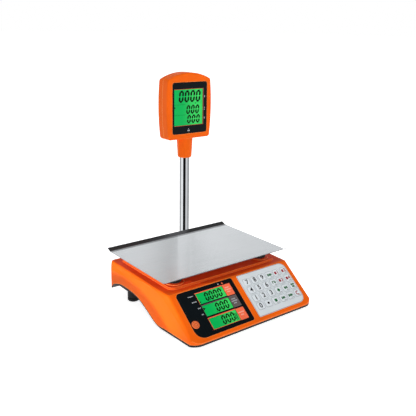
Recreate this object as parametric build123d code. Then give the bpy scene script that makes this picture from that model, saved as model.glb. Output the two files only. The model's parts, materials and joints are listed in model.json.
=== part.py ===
from build123d import *
import os
from math import atan2, cos, degrees, radians, sin, tan

# Price-computing retail scale with a column display, in millimetres.
# Origin: on the table, under the middle of the whole scale.  +X is the operator's right,
# +Y points from the operator's side to the back, +Z is up.

# ---------------------------------------------------------------- driving dimensions
HALF_DEPTH = 186.0            # front edge of the body and back of the column head, from the origin
PAN_TOP = 111.0               # height of the weighing surface
PAN_WIDTH = 340.0
PAN_FLAT_DEPTH = 217.0
PAN_THICK = 1.0
PAN_Y = 25.0                  # middle of the pan
LIP_RUN, LIP_RISE = 12.0, 4.8  # turned-up front and back lips of the pan

DECK_Z = 86.4                 # outer shelf of the housing
PLATEAU_Z = 90.6              # raised middle of the deck
PLATEAU_HALF_WIDTH = 149.3
PLATEAU_FRONT, PLATEAU_BACK = -81.0, 127.0
BODY_BACK = 139.0             # rear wall
CREASE_Y = -95.2              # deck meets sloping panel
PANEL_TILT = 38.3             # degrees below horizontal
WALL = 2.8
FRONT_CORNER, BACK_CORNER = 30.0, 20.0   # plan radii of the body
EDGE_ROUND = 4.0              # along the sides of deck and panel

EDGE_HALF_WIDTH = 165.5       # edge of deck and panel
SHOULDER_HALF_WIDTH = 168.2   # upper line of the side band
BAND_HALF_WIDTH = 171.0       # lower line of the side band
SKIRT_HALF_WIDTH = 174.5      # lowest edge of the skirt
SKIRT_DROP = 45.0             # height over which the skirt flares from the band line

RIM_FRONT, RIM_ARCH = 4.6, 2.2   # visible height of the tray's rim at the front and on the arch
FLOOR_THICK = 3.0

BEZEL_X0, BEZEL_X1, BEZEL_S0, BEZEL_S1 = -150.5, -2.8, 2.5, 107.5
KEYPAD_X0, KEYPAD_X1, KEYPAD_S0, KEYPAD_S1 = 12.0, 152.8, 3.0, 107.0
PLATE_THICK = 1.6             # display window and keypad plate
PLATE_PROUD = 0.4             # how far both stand above the panel
PLATE_GAP = 0.3
LEDGE = 2.0                   # width of the ledge that each plate sits on

LCD_X0, LCD_X1 = -106.0, -36.0
LCD_ROWS = [(14.4, 38.4), (43.2, 67.4), (73.4, 97.6)]
BUTTON_X, BUTTON_S, BUTTON_R = -140.4, 76.0, 8.8

KEY_COLS, KEY_ROWS = 6, 4
KEY_X0, KEY_S0 = 30.0, 23.6
KEY_PITCH_X, KEY_PITCH_S = 22.3, 20.2
KEY_W, KEY_H = 16.4, 15.2
KEY_RISE = 0.9                # key top above the plate
KEY_TRAVEL = 1.0

PAD_X, PAD_DY = 120.7, 76.7   # support pads, from the pan's middle
PAD_R = 15.6
PAD_BOTTOM = 93.2

FOOT_X, FOOT_FRONT_Y, FOOT_BACK_Y = 139.0, -141.0, 86.0
FOOT_R, FOOT_H = 13.5, 7.2
STUD_R = 4.0
RUNNING = 0.06                # radial clearance of parts that turn on each other

POLE_X, POLE_Y, POLE_R, POLE_WALL = 60.7, 165.0, 12.0, 1.2
POLE_BOTTOM, POLE_TOP = 24.0, 366.0

HEAD_FRONT, HEAD_BOTTOM, HEAD_SHOULDER, HEAD_TOP = 143.0, 347.0, 487.0, 502.6
HEAD_HALF_TOP, HEAD_HALF_MID, HEAD_HALF_BOTTOM = 61.5, 65.0, 60.0
NECK_BOTTOM, NECK_R_TOP, NECK_R_BOTTOM = 298.0, 19.3, 17.2
HEAD_WINDOW_W, HEAD_WINDOW_Z0, HEAD_WINDOW_Z1 = 100.0, 360.5, 481.0
HEAD_LCD_X0, HEAD_LCD_X1, HEAD_LCD_Z0, HEAD_LCD_Z1 = -46.2, 36.4, 380.6, 464.6

BIG = 420.0                   # larger than the object, for cutting

parts = {}

panel = Plane(
    origin=(0, CREASE_Y, DECK_Z),
    x_dir=(1, 0, 0),
    z_dir=(0, -sin(radians(PANEL_TILT)), cos(radians(PANEL_TILT))),
)
PANEL_OUT = Axis(panel.origin, panel.z_dir)


# ---------------------------------------------------------------- helpers
def span(x0, x1, y0, y1, z0, z1):
    """Box between two corners."""
    return Pos((x0 + x1) / 2, (y0 + y1) / 2, (z0 + z1) / 2) * Box(x1 - x0, y1 - y0, z1 - z0)


def rod(x, y, z0, z1, r):
    """Upright cylinder."""
    return Pos(x, y, (z0 + z1) / 2) * Cylinder(r, z1 - z0)


def on_panel(x, s, h0, h1, shape2d):
    """Raise a flat shape on the sloping panel from height h0 to h1; s runs down the slope."""
    return panel * Pos(x, -s, h0) * extrude(shape2d, h1 - h0)


def corners_rounded(width, height, upper_left, upper_right, lower_right, lower_left):
    """Rectangle about the origin with its own radius at each corner."""
    x, y = width / 2, height / 2
    radii = [upper_left, upper_right, lower_right, lower_left]
    return make_face(FilletPolyline((-x, y), (x, y), (x, -y), (-x, -y), radius=radii, close=True))


def group(solids):
    """Several separate solids kept in one node."""
    return Compound(list(solids))


# ---------------------------------------------------------------- body shape
def bottom_line(lift_front, lift_arch):
    """Lower side line of the body, seen from the left: flat front, rising curve, arch, rear hook."""
    front = Line((-BIG, 8.0 + lift_front), (-97.0, 8.0 + lift_front))
    rise = Spline(
        (-97.0, 8.0 + lift_front), (-67.0, 9.8 + lift_arch), (-39.0, 21.2 + lift_arch),
        (-13.0, 33.4 + lift_arch), (13.0, 42.4 + lift_arch), (51.0, 46.2 + lift_arch),
        (91.0, 44.0 + lift_arch), (113.0, 36.6 + lift_arch), (129.0, 22.0 + lift_arch),
        tangents=[(1, 0), (1, -1)],
    )
    hook = Line((129.0, 22.0 + lift_arch), (BIG, 22.0 + lift_arch))
    return [front, rise, hook]


def below(lift_front, lift_arch):
    """Everything under the lower side line, raised by the two lifts."""
    lines = bottom_line(lift_front, lift_arch)
    start, end = lines[0] @ 0, lines[-1] @ 1
    lines.append(Polyline((end.X, end.Y), (BIG, -BIG), (-BIG, -BIG), (start.X, start.Y)))
    return extrude(Plane.YZ * make_face(lines), BIG, both=True)


def side_section(x, rear, front, drop):
    """Side section of the body at one x, from its upper line down."""
    rear = [(y, z - drop) for y, z in rear]
    front = [(y, z - drop) for y, z in front]
    rear_edge = Line(*rear) if len(rear) == 2 else Spline(*rear)
    front_edge = Line(*front) if len(front) == 2 else Spline(*front)
    base = Polyline(front[-1], (front[-1][0], -90.0), (rear[0][0], -90.0), rear[0])
    return Plane.YZ.offset(x) * make_face([rear_edge, front_edge, base])


# Side lines of the body as (y, z): the shoulder line and the lower line of the side band.
SHOULDER_BACK = [(150, 83.6), (-1, 83.6), (-50, 82.6), (-79, 76.0)]
SHOULDER_FRONT = [(-79, 76.0), (-107, 60.0), (-133, 44.4), (-158, 28.0), (-200, -2)]
BAND_BACK = [(150, 68.0), (108, 69.6), (56, 70.0), (8, 66.4), (-36, 55.4)]
BAND_FRONT = [(-36, 55.4), (-72, 39.4), (-99, 23.0), (-121, 9.6), (-200, -34)]


def body_block(inset):
    """Solid body inside its outer surface by the inset, with no underside cut."""
    down = inset / cos(radians(PANEL_TILT))
    crease = (CREASE_Y + inset * tan(radians(PANEL_TILT / 2)), DECK_Z)
    nose = (-200.0, DECK_Z - (CREASE_Y + 200.0) * tan(radians(PANEL_TILT)) - down + inset)
    sections = [
        side_section(EDGE_HALF_WIDTH - inset, [(150, DECK_Z), crease], [crease, nose], inset),
        side_section(SHOULDER_HALF_WIDTH - inset, SHOULDER_BACK, SHOULDER_FRONT, inset),
        side_section(BAND_HALF_WIDTH - inset, BAND_BACK, BAND_FRONT, inset),
        side_section(SKIRT_HALF_WIDTH - inset, BAND_BACK, BAND_FRONT, inset + SKIRT_DROP),
    ]
    block = extrude(sections[0], -(2 * (EDGE_HALF_WIDTH - inset)))
    for inner, outer in zip(sections, sections[1:]):
        side = loft([inner, outer], ruled=True)
        block += [side, mirror(side, Plane.YZ)]
    if inset == 0:
        top_lines = block.edges().filter_by(lambda e: abs(abs(e.center().X) - EDGE_HALF_WIDTH) < 0.01)
        block = fillet(top_lines, EDGE_ROUND)
    width = 2 * (SKIRT_HALF_WIDTH - inset)
    depth = BODY_BACK + HALF_DEPTH - 2 * inset
    plan = corners_rounded(
        width, depth, BACK_CORNER - inset, BACK_CORNER - inset, FRONT_CORNER - inset, FRONT_CORNER - inset
    )
    middle = (BODY_BACK - HALF_DEPTH) / 2
    return block & (Pos(0, middle, -90) * extrude(plan, 300))


plateau_shape = RectangleRounded(2 * PLATEAU_HALF_WIDTH, PLATEAU_BACK - PLATEAU_FRONT, 16)
plateau_mid = (PLATEAU_BACK + PLATEAU_FRONT) / 2
pad_places = [(sx * PAD_X, PAN_Y + sy * PAD_DY) for sx in (-1, 1) for sy in (-1, 1)]
outer_block = body_block(0.0)
inner_block = body_block(WALL)


# ---------------------------------------------------------------- housing
def plate_hole(x0, x1, s0, s1, radii, margin, h0, h1):
    """Block under one of the panel's plates, grown by the margin; negative margin shrinks it."""
    shape = corners_rounded(x1 - x0 + 2 * margin, s1 - s0 + 2 * margin, *[r + margin for r in radii])
    return on_panel((x0 + x1) / 2, (s0 + s1) / 2, h0, h1, shape)


BEZEL = (BEZEL_X0, BEZEL_X1, BEZEL_S0, BEZEL_S1, (9.0, 4.0, 4.5, 21.0))
KEYPAD = (KEYPAD_X0, KEYPAD_X1, KEYPAD_S0, KEYPAD_S1, (2.5, 16.0, 18.0, 2.5))
POCKET = PLATE_THICK - PLATE_PROUD

HOUSING_SCREWS = [(sx * x, y) for sx in (-1, 1) for x, y in [(154.0, -85.0), (152.0, 39.0), (100.0, 121.0)]]
SCREW_HEAD_R, SCREW_R, PILOT_R = 3.6, 1.9, 2.0
BOSS_BOTTOM = {-85.0: 14.0, 39.0: 52.0, 121.0: 34.0}

INLET_X, INLET_Z = -62.0, 60.0
INLET_W, INLET_H = 28.0, 20.0
CABLE_Z, CABLE_R = 52.0, 2.5


def top_housing():
    raised = extrude(plateau_shape, PLATEAU_Z - DECK_Z + 2, taper=22)
    outer = outer_block + Pos(0, plateau_mid, DECK_Z - 2) * raised
    under = RectangleRounded(2 * PLATEAU_HALF_WIDTH - 8, PLATEAU_BACK - PLATEAU_FRONT - 8, 12)
    inner = inner_block + Pos(0, plateau_mid, DECK_Z - 10) * extrude(under, PLATEAU_Z - WALL - DECK_Z + 10)
    shell = outer - inner
    for x, y in pad_places:
        shell += rod(x, y, PLATEAU_Z - WALL, PLATEAU_Z + 1.0, 21)
    for x, y in HOUSING_SCREWS:
        shell += rod(x, y, BOSS_BOTTOM[y], DECK_Z - 1, 4.5) & inner_block
    for s in (12.0, 98.0):
        for x in (-153.5, -0.5):
            shell += on_panel(x, s, -5.4, -WALL, Circle(2.8))
        for x in (8.6, 155.6):
            shell += on_panel(x, s, -6.0, -WALL, Circle(2.2))
    shell -= below(RIM_FRONT, RIM_ARCH)
    for plate in (BEZEL, KEYPAD):
        shell -= plate_hole(*plate, PLATE_GAP, -POCKET, 5)
        shell -= plate_hole(*plate, -LEDGE, -8, 5)
    shell -= on_panel(BUTTON_X, BUTTON_S, -8, -POCKET, Circle(BUTTON_R + 1.2))
    for x, y in pad_places:
        shell -= rod(x, y, 60, 100, 13)
    for x, y in HOUSING_SCREWS:
        shell -= rod(x, y, 0, BOSS_BOTTOM[y] + 16, PILOT_R)
    rear = BODY_BACK - WALL / 2
    shell -= Pos(INLET_X, rear, INLET_Z) * Box(INLET_W + 0.4, 2 * WALL, INLET_H + 0.4)
    shell -= Pos(POLE_X, rear, CABLE_Z) * Rot(90, 0, 0) * Cylinder(4, 3 * WALL)
    for x, z in BRACKET_SCREWS:
        shell -= Pos(x, rear, z) * Rot(90, 0, 0) * Cylinder(2.4, 3 * WALL)
    return shell


# ---------------------------------------------------------------- tray and feet
WELL_HALF, WELL_Y0, WELL_Y1, WELL_Z = 157.0, 83.0, 124.0, 27.5
REAR_BOSS_BOTTOM = 9.0        # underside of the bosses that hold the back feet
STUD_TOP = {FOOT_FRONT_Y: 29.0, FOOT_BACK_Y: 42.0}
FOOT_BOSS_TOP = {FOOT_FRONT_Y: 26.0, FOOT_BACK_Y: 46.0}
CELL_BOLTS_X = (-58.0, -44.0)
CELL_Y, CELL_Z0, CELL_Z1 = PAN_Y, 52.0, 72.0
CELL_LENGTH, CELL_WIDTH = 130.0, 30.0
CELL_GAP = 0.6                # room for the platform to sink as the load cell bends
BATTERY_X0, BATTERY_X1, BATTERY_Y0, BATTERY_Y1, BATTERY_Z0, BATTERY_Z1 = -50, 51, -89, -42, 26, 73
feet = [(sx * FOOT_X, y) for y in (FOOT_FRONT_Y, FOOT_BACK_Y) for sx in (-1, 1)]


def base_tray():
    tray = (outer_block & below(RIM_FRONT, RIM_ARCH)) - (inner_block - below(FLOOR_THICK, FLOOR_THICK))
    for side in (-1, 1):
        x0, x1 = sorted((side * 52.0, side * 54.5))
        tray += span(x0 + 0.5, x1 + 0.5, BATTERY_Y0, BATTERY_Y1, 5, 48)
    for x, y in HOUSING_SCREWS[0::3] + HOUSING_SCREWS[1::3]:
        tray += rod(x, y, 5, BOSS_BOTTOM[y], 6.5) & inner_block
    tray -= below(0, 0)
    tray += span(-66, -36, CELL_Y - 14, CELL_Y + 14, 41.5, CELL_Z0)
    well = span(-WELL_HALF, WELL_HALF, WELL_Y0, WELL_Y1, WELL_Z, 48) & inner_block
    well_inside = span(
        -WELL_HALF + FLOOR_THICK, WELL_HALF - FLOOR_THICK, WELL_Y0 + FLOOR_THICK, WELL_Y1,
        WELL_Z + FLOOR_THICK, 60,
    )
    tray = (tray + well) - (well_inside & inner_block)
    for x, y in HOUSING_SCREWS[2::3]:
        tray += rod(x, y, WELL_Z, BOSS_BOTTOM[y], 6.5)
    for x, y in feet:
        if y == FOOT_BACK_Y:
            tray += rod(x, y, REAR_BOSS_BOTTOM, FOOT_BOSS_TOP[y], FOOT_R)
        else:
            tray += rod(x, y, REAR_BOSS_BOTTOM, FOOT_BOSS_TOP[y], 9)
        tray -= rod(x, y, 0, FOOT_BOSS_TOP[y] + 8, STUD_R + RUNNING)
    for x in CELL_BOLTS_X:
        tray -= rod(x, CELL_Y, 30, 60, 3.2)
    for x, y in HOUSING_SCREWS:
        tray -= rod(x, y, 0, 70, PILOT_R + 0.3)
        tray -= rod(x, y, 0, BOSS_BOTTOM[y] - 5, SCREW_HEAD_R + 0.4)
    return tray


def foot_stud(x, y):
    return rod(x, y, 4.0, STUD_TOP[y], STUD_R)


def foot_pad(x, y):
    pad = rod(x, y, 0, FOOT_H, FOOT_R)
    pad = fillet(pad.edges().group_by(Axis.Z)[0], 2.6)
    pad = chamfer(pad.edges().group_by(Axis.Z)[-1], 0.8)
    return pad - rod(x, y, 3.0, FOOT_H + 1, STUD_R + RUNNING)


# ---------------------------------------------------------------- weighing part
SPIDER_Z0, SPIDER_Z1 = 75.0, 80.0
POST_R = 11.0


def load_cell():
    middle = (CELL_Z0 + CELL_Z1) / 2
    bar = Pos(0, CELL_Y, middle) * Box(CELL_LENGTH, CELL_WIDTH, CELL_Z1 - CELL_Z0)
    for x in (-11.0, 11.0):
        bar -= Pos(x, CELL_Y, middle) * Rot(90, 0, 0) * Cylinder(8.0, CELL_WIDTH + 2)
    bar -= Pos(0, CELL_Y, middle) * Box(22, CELL_WIDTH + 2, 4)
    for x in CELL_BOLTS_X:
        bar -= rod(x, CELL_Y, CELL_Z0 - 1, CELL_Z0 + 15, 3.1)
        bar -= rod(-x, CELL_Y, CELL_Z1 - 15, CELL_Z1 + 1, 3.1)
    return bar


def hex_bolt(x, y, z_seat, z_end):
    """Hexagon-head bolt; its head lies on the far side of the seat from the shank's end."""
    away = 1 if z_seat > z_end else -1
    head = Pos(x, y, z_seat + away * 2.2) * extrude(RegularPolygon(5.6, 6), 2.2, both=True)
    return head + rod(x, y, min(z_seat, z_end), max(z_seat, z_end), 3.0)


def platform_frame():
    hub = rod(0, CELL_Y, SPIDER_Z0, SPIDER_Z1, 30)
    hub += span(0, 68, CELL_Y - 16, CELL_Y + 16, SPIDER_Z0, SPIDER_Z1)
    for x, y in pad_places:
        arm = Vector(x, y - CELL_Y, 0)
        place = Pos(x / 2, (y + CELL_Y) / 2, 0) * Rot(0, 0, degrees(atan2(arm.Y, arm.X)))
        hub += place * Pos(0, 0, (SPIDER_Z0 + SPIDER_Z1) / 2) * Box(arm.length, 20, SPIDER_Z1 - SPIDER_Z0)
        hub += place * Pos(0, 0, SPIDER_Z0 - 2) * Box(arm.length - 10, 4, 6)
        hub += rod(x, y, SPIDER_Z0, PAD_BOTTOM, POST_R)
    hub -= Pos(0, CELL_Y, 60) * Box(CELL_LENGTH + 8, CELL_WIDTH + 8, 2 * (SPIDER_Z0 - 60))
    hub += span(36, 66, CELL_Y - 14, CELL_Y + 14, CELL_Z1 + CELL_GAP, SPIDER_Z0)
    for x in CELL_BOLTS_X:
        hub -= rod(-x, CELL_Y, CELL_Z1 - 1, SPIDER_Z1 + 1, 3.2)
    for x, y in pad_places:
        hub -= rod(x, y, SPIDER_Z1, PAD_BOTTOM + 1, 4.1)
    return hub


def support_pad(x, y):
    top = PAN_TOP - PAN_THICK
    pad = rod(x, y, PAD_BOTTOM, top, PAD_R)
    pad = fillet(pad.edges().group_by(Axis.Z)[-1], 1.6)
    pad = fillet(pad.edges().group_by(Axis.Z)[0], 1.0)
    return pad + rod(x, y, SPIDER_Z1 + 1, PAD_BOTTOM + 1, 4.0)


def weighing_pan():
    half = PAN_FLAT_DEPTH / 2
    under = PAN_TOP - PAN_THICK
    sheet = Polyline(
        (-half - LIP_RUN, PAN_TOP + LIP_RISE), (-half, PAN_TOP), (half, PAN_TOP),
        (half + LIP_RUN, PAN_TOP + LIP_RISE), (half + LIP_RUN + 0.35, PAN_TOP + LIP_RISE - 0.95),
        (half + 0.2, under), (-half - 0.2, under), (-half - LIP_RUN - 0.35, PAN_TOP + LIP_RISE - 0.95),
        close=True,
    )
    pan = extrude(Plane.YZ * make_face(sheet), PAN_WIDTH / 2, both=True)
    pan = Pos(0, PAN_Y, 0) * pan
    for x, y in pad_places:
        pan += rod(x, y, under - 4, under, PAD_R + 1.8) - rod(x, y, under - 5, under, PAD_R + 0.8)
    return pan


# ---------------------------------------------------------------- display and keypad
def display_window():
    plate = plate_hole(*BEZEL, 0, -POCKET, PLATE_PROUD)
    for s0, s1 in LCD_ROWS:
        plate -= on_panel((LCD_X0 + LCD_X1) / 2, (s0 + s1) / 2, -5, 5, Rectangle(LCD_X1 - LCD_X0, s1 - s0))
    return plate - on_panel(BUTTON_X, BUTTON_S, -5, 5, Circle(BUTTON_R))


def main_lcd():
    width = LCD_X1 - LCD_X0
    middle = (LCD_X0 + LCD_X1) / 2
    lcd = on_panel(middle, (LCD_ROWS[0][0] + LCD_ROWS[-1][1]) / 2, -5.4, -POCKET, Rectangle(width + 12, 92))
    for s0, s1 in LCD_ROWS:
        lcd += on_panel(middle, (s0 + s1) / 2, -POCKET, 0.1, Rectangle(width - 0.2, s1 - s0 - 0.2))
    return lcd


def main_board():
    board = on_panel(-77.5, 55, -7.0, -5.4, Rectangle(158, 92))
    board += on_panel(BUTTON_X, BUTTON_S, -5.4, -3.9, Rectangle(10, 10))
    for x, s, w, h in [(-60, 40, 20, 20), (-100, 60, 14, 10), (-30, 70, 24, 8), (-128, 30, 12, 18)]:
        board += on_panel(x, s, -9.0, -7.0, Rectangle(w, h))
    return board


def power_button():
    cap = on_panel(BUTTON_X, BUTTON_S, -2.4, 1.4, Circle(BUTTON_R - 0.35))
    cap = fillet(cap.faces().sort_by(PANEL_OUT)[-1].edges(), 0.8)
    return cap + on_panel(BUTTON_X, BUTTON_S, -2.7, -1.35, Circle(BUTTON_R + 0.5))


def key_place(row, col):
    return KEY_X0 + KEY_PITCH_X * col, KEY_S0 + KEY_PITCH_S * row


def keypad_plate():
    plate = plate_hole(*KEYPAD, 0, -POCKET, PLATE_PROUD)
    for row in range(KEY_ROWS):
        for col in range(KEY_COLS):
            plate -= on_panel(*key_place(row, col), -5, 5, RectangleRounded(KEY_W + 0.7, KEY_H + 0.7, 2.6))
    return plate


def key(row, col):
    x, s = key_place(row, col)
    top = PLATE_PROUD + KEY_RISE
    cap = on_panel(x, s, -2.4, top, RectangleRounded(KEY_W, KEY_H, 2.3))
    cap = fillet(cap.faces().sort_by(PANEL_OUT)[-1].edges(), 0.45)
    return cap + on_panel(x, s, -2.6, -1.35, RectangleRounded(KEY_W + 1.0, KEY_H + 1.0, 2.8))


def keypad_mat():
    mat = on_panel(82.5, 55, -6.0, -4.9, Rectangle(136, 92))
    for row in range(KEY_ROWS):
        for col in range(KEY_COLS):
            mat += on_panel(*key_place(row, col), -5, -4.0, Circle(3.0))
    return mat


def keypad_board():
    return on_panel(81.8, 55, -7.6, -6.0, Rectangle(153, 94))


# ---------------------------------------------------------------- power
def battery():
    case = span(BATTERY_X0, BATTERY_X1, BATTERY_Y0, BATTERY_Y1, BATTERY_Z0, BATTERY_Z1)
    case = fillet(case.edges().filter_by(Axis.Z), 2.0)
    middle = (BATTERY_Y0 + BATTERY_Y1) / 2
    for x in (BATTERY_X0 + 14, BATTERY_X1 - 14):
        case += span(x - 2.4, x + 2.4, middle - 0.4, middle + 0.4, BATTERY_Z1 - 1, BATTERY_Z1 + 6)
    return case


def power_inlet():
    mouth_y = BODY_BACK + 2.0
    flange = Pos(INLET_X, BODY_BACK + 1, INLET_Z) * Box(INLET_W + 5, 2, INLET_H + 5)
    body = Pos(INLET_X, BODY_BACK - 8, INLET_Z) * Box(INLET_W, 16, INLET_H)
    cavity = span(INLET_X - 12.3, INLET_X + 12.3, BODY_BACK - 13, mouth_y + 1, INLET_Z - 8.3, INLET_Z + 8.3)
    pins = [
        Pos(INLET_X + x, BODY_BACK - 7, INLET_Z + z) * Box(2, 12, 4)
        for x, z in [(-7.0, -2.8), (0.0, 1.2), (7.0, -2.8)]
    ]
    return group([flange + body - cavity, *pins])


# ---------------------------------------------------------------- pole
BRACKET_SCREWS = [(POLE_X + dx, z) for dx in (-23.0, 23.0) for z in (35.0, 71.0)]
BRACKET_BOTTOM, BRACKET_TOP = 22.0, 78.0


def pole_bracket():
    flange = span(POLE_X - 30, POLE_X + 30, BODY_BACK, BODY_BACK + 4, 25, 80)
    flange = fillet(flange.edges().filter_by(Axis.Y), 5.0)
    web = span(POLE_X - 11, POLE_X + 11, BODY_BACK + 3, POLE_Y, BRACKET_BOTTOM + 3, BRACKET_TOP - 4)
    socket = rod(POLE_X, POLE_Y, BRACKET_BOTTOM, BRACKET_TOP, 16.5)
    bracket = flange + web + chamfer(socket.edges().group_by(Axis.Z)[-1], 1.5)
    bracket -= rod(POLE_X, POLE_Y, POLE_BOTTOM, BRACKET_TOP + 1, POLE_R + 0.04)
    bracket -= Pos(POLE_X, BODY_BACK + 14, CABLE_Z) * Rot(90, 0, 0) * Cylinder(4, 30)
    for x, z in BRACKET_SCREWS:
        bracket -= Pos(x, BODY_BACK + 2, z) * Rot(90, 0, 0) * Cylinder(2.3, 6)
    return bracket


def pole():
    tube = rod(POLE_X, POLE_Y, POLE_BOTTOM, POLE_TOP, POLE_R)
    tube -= rod(POLE_X, POLE_Y, 0, BIG, POLE_R - POLE_WALL)
    return tube - Pos(POLE_X, POLE_Y - POLE_R, CABLE_Z) * Rot(90, 0, 0) * Cylinder(3.6, 10)


def display_cable():
    route = FilletPolyline(
        (POLE_X, 111, CABLE_Z), (POLE_X, POLE_Y, CABLE_Z), (POLE_X, POLE_Y, 370), radius=8.0
    )
    return sweep(Plane(route @ 0, z_dir=route % 0) * Circle(CABLE_R), path=route)


def body_screws():
    screws = []
    for x, y in HOUSING_SCREWS:
        seat = BOSS_BOTTOM[y] - 5
        screws.append(rod(x, y, seat - 2.4, seat, SCREW_HEAD_R) + rod(x, y, seat, seat + 18, SCREW_R))
    for x, z in BRACKET_SCREWS:
        head = Pos(x, BODY_BACK + 5.2, z) * Rot(90, 0, 0) * Cylinder(SCREW_HEAD_R, 2.4)
        screws.append(head + Pos(x, BODY_BACK - 3, z) * Rot(90, 0, 0) * Cylinder(SCREW_R, 14))
    return group(screws)


# ---------------------------------------------------------------- column head
head_plane = Plane(origin=(POLE_X, HEAD_FRONT, 0), x_dir=(1, 0, 0), z_dir=(0, -1, 0))
HEAD_DEPTH = HALF_DEPTH - HEAD_FRONT
HEAD_MID_Z = 425.0
HEAD_WALL = 2.6
BUSH_R, BUSH_TOP = 15.0, 368.5
HEAD_SCREW_PLACES = [(-55.5, 357.0), (55.5, 357.0), (-55.5, 479.0), (55.5, 479.0)]
WINDOW_SHIFT = -0.7


def head_outline():
    top = ThreePointArc((-HEAD_HALF_TOP, HEAD_SHOULDER), (0, HEAD_TOP), (HEAD_HALF_TOP, HEAD_SHOULDER))
    left = ThreePointArc(
        (-HEAD_HALF_BOTTOM, HEAD_BOTTOM), (-HEAD_HALF_MID, HEAD_MID_Z), (-HEAD_HALF_TOP, HEAD_SHOULDER)
    )
    right = ThreePointArc(
        (HEAD_HALF_BOTTOM, HEAD_BOTTOM), (HEAD_HALF_MID, HEAD_MID_Z), (HEAD_HALF_TOP, HEAD_SHOULDER)
    )
    base = Line((-HEAD_HALF_BOTTOM, HEAD_BOTTOM), (HEAD_HALF_BOTTOM, HEAD_BOTTOM))
    return make_face([top, left, right, base])


def back_from_front(shape2d, y0, y1):
    """Extrude a head outline between two distances behind the head's front face."""
    return head_plane * Pos(0, 0, -y1) * extrude(shape2d, y1 - y0)


def neck_solid():
    z0 = NECK_BOTTOM
    profile = make_face(Polyline(
        (0, z0), (NECK_R_BOTTOM - 3.5, z0), (NECK_R_BOTTOM - 0.8, z0 + 1.6), (NECK_R_BOTTOM, z0 + 5),
        (NECK_R_TOP, HEAD_BOTTOM - 6), (NECK_R_TOP + 0.2, HEAD_BOTTOM + 2), (0, HEAD_BOTTOM + 2),
        close=True,
    ))
    return Pos(POLE_X, POLE_Y, 0) * revolve(Plane.XZ * profile, Axis.Z)


def head_casing():
    """Both halves of the head in one piece, hollow, before it is split on the pole's axis."""
    outline = head_outline()
    outline = fillet(outline.vertices().group_by(Axis.Y)[-1], 6.0)
    outline = fillet(outline.vertices().group_by(Axis.Y)[0], 7.0)
    block = back_from_front(outline, 0, HEAD_DEPTH)
    block = fillet(block.faces().sort_by(Axis.Y)[0].edges(), 5.0)
    block = fillet(block.faces().sort_by(Axis.Y)[-1].edges(), 6.5)
    block += neck_solid()
    hollow = back_from_front(offset(head_outline(), -HEAD_WALL), HEAD_WALL, HEAD_DEPTH - HEAD_WALL)
    casing = block - hollow
    casing += rod(POLE_X, POLE_Y, HEAD_BOTTOM, 360, BUSH_R + 3)
    for x, z in HEAD_SCREW_PLACES:
        middle_y = (HEAD_FRONT + HALF_DEPTH) / 2
        casing += Pos(POLE_X + x, middle_y, z) * Rot(90, 0, 0) * Cylinder(4.0, HEAD_DEPTH - 4)
    for x, z in [(-52.5, 390.0), (51.0, 390.0), (-52.5, 455.0), (51.0, 455.0)]:
        casing += Pos(POLE_X + x, HEAD_FRONT + 3.9, z) * Rot(90, 0, 0) * Cylinder(2.2, 3.0)
    casing -= rod(POLE_X, POLE_Y, 290, 400, BUSH_R + 0.05)
    middle = (HEAD_WINDOW_Z0 + HEAD_WINDOW_Z1) / 2
    height = HEAD_WINDOW_Z1 - HEAD_WINDOW_Z0
    seat = RectangleRounded(HEAD_WINDOW_W + 2 * PLATE_GAP, height + 2 * PLATE_GAP, 5.3)
    casing -= back_from_front(Pos(WINDOW_SHIFT, middle) * seat, -1, POCKET)
    through = RectangleRounded(HEAD_WINDOW_W - 6, height - 6, 3)
    casing -= back_from_front(Pos(WINDOW_SHIFT, middle) * through, -1, HEAD_WALL + 1)
    for x, z in HEAD_SCREW_PLACES:
        casing -= Pos(POLE_X + x, HALF_DEPTH - 12, z) * Rot(90, 0, 0) * Cylinder(1.6, 30)
        casing -= Pos(POLE_X + x, HALF_DEPTH, z) * Rot(90, 0, 0) * Cylinder(3.2, 16)
    return casing


def head_window():
    middle = (HEAD_WINDOW_Z0 + HEAD_WINDOW_Z1) / 2
    face = Pos(WINDOW_SHIFT, middle) * RectangleRounded(HEAD_WINDOW_W, HEAD_WINDOW_Z1 - HEAD_WINDOW_Z0, 5)
    plate = back_from_front(face, -PLATE_PROUD, POCKET)
    return plate - back_from_front(head_lcd_face(0), -2, 4)


def head_lcd_face(margin):
    width, height = HEAD_LCD_X1 - HEAD_LCD_X0, HEAD_LCD_Z1 - HEAD_LCD_Z0
    at = Pos((HEAD_LCD_X0 + HEAD_LCD_X1) / 2, (HEAD_LCD_Z0 + HEAD_LCD_Z1) / 2)
    return at * Rectangle(width + 2 * margin, height + 2 * margin)


def head_lcd():
    glass = back_from_front(head_lcd_face(-0.1), -0.1, POCKET)
    return glass + back_from_front(head_lcd_face(1.2), POCKET, 5.4)


def head_board():
    board = back_from_front(Pos(WINDOW_SHIFT, 424) * Rectangle(108, 94), 5.4, 7.0)
    return board + back_from_front(Pos(20, 400) * Rectangle(16, 10), 7.0, 9.0)


def head_screws():
    screws = []
    for x, z in HEAD_SCREW_PLACES:
        head = Pos(POLE_X + x, HALF_DEPTH - 6.8, z) * Rot(90, 0, 0) * Cylinder(2.8, 2.4)
        shank = Pos(POLE_X + x, HALF_DEPTH - 15, z) * Rot(90, 0, 0) * Cylinder(1.5, 16)
        screws.append(head + shank)
    return group(screws)


def swivel_bush():
    bush = rod(POLE_X, POLE_Y, NECK_BOTTOM + 2, BUSH_TOP, BUSH_R)
    bush -= rod(POLE_X, POLE_Y, NECK_BOTTOM, POLE_TOP, POLE_R + RUNNING)
    return bush - rod(POLE_X, POLE_Y, POLE_TOP - 1, BUSH_TOP + 1, 6.0)


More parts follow.
